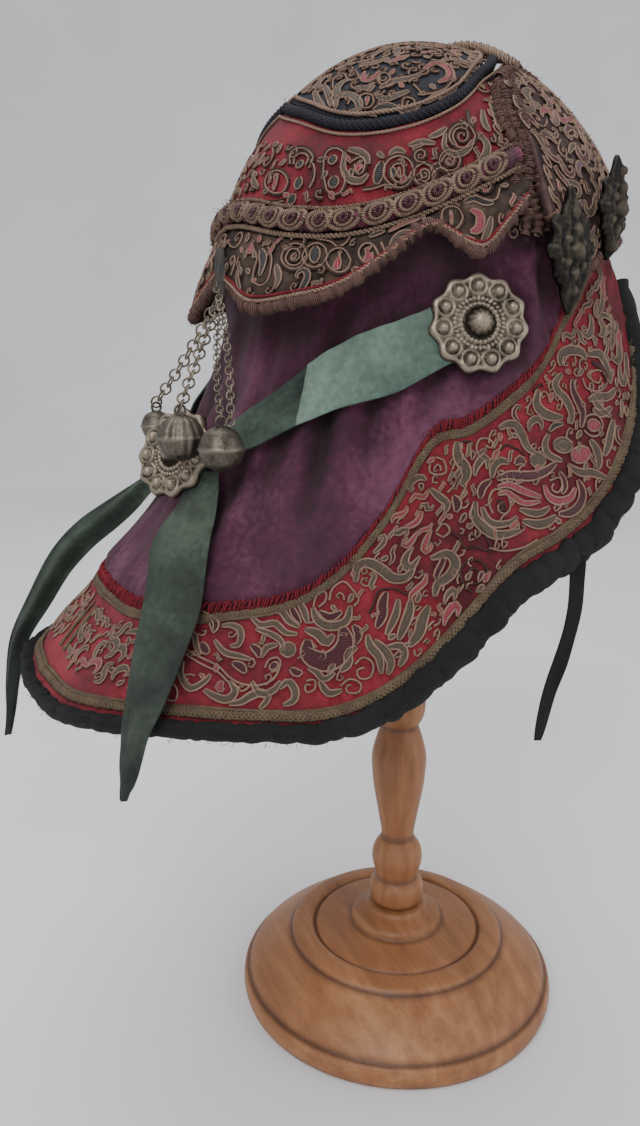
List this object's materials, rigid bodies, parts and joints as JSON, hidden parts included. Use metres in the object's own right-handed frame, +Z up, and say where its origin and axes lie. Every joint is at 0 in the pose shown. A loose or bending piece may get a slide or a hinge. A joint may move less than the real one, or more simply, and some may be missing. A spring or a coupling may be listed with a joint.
{
  "type": "embroidered hat on stand",
  "caption": "Child's embroidered wind hat with layered crown, neck cape, ribbons, metal discs and bells, held up on a plain turned wooden stand.",
  "frame": {"origin": "centre of the stand's flat underside, on the floor", "axes": "+Z up along the stand's post, -Y out of the hat's face opening, -X to the wearer's right"},
  "size_m": [0.2246, 0.2565, 0.423],
  "materials": {
    "wood": "satin",
    "purple_silk": "satin",
    "red_satin": "satin",
    "navy_satin": "satin",
    "gold_embroidery": "matte",
    "black_binding": "matte",
    "tan_trim": "matte",
    "green_ribbon": "satin",
    "grey_tape": "matte",
    "aged_silver": "aged",
    "dark_metal": "aged"
  },
  "bodies": {
    "root": {"stand_base": "wood", "stand_post": "wood", "stand_head": "wood", "crown_cap": "purple_silk", "crown_patch": "navy_satin", "patch_cord": "black_binding", "red_band": "red_satin", "padded_roll": "tan_trim", "scalloped_flap": "gold_embroidery", "forehead_band": "gold_embroidery", "hood_body": "purple_silk", "border_band": "red_satin", "edge_binding": "black_binding", "disc_right": "aged_silver", "disc_left": "aged_silver", "disc_back": "aged_silver", "ornament_temple_right": "dark_metal", "ornament_temple_left": "dark_metal", "ornament_brow_right": "dark_metal", "ornament_brow_left": "dark_metal", "ribbon_right": "green_ribbon", "ribbon_left": "green_ribbon", "ribbon_knot": "green_ribbon", "ribbon_tail_right": "green_ribbon", "ribbon_tail_left": "green_ribbon", "tie_right": "black_binding", "tie_left": "black_binding", "chain_tab": "grey_tape", "chain_1": "aged_silver", "chain_2": "aged_silver", "chain_3": "aged_silver", "chain_4": "aged_silver", "bell_right": "aged_silver", "bell_middle": "aged_silver", "bell_left": "aged_silver"}
  },
  "joints": []
}
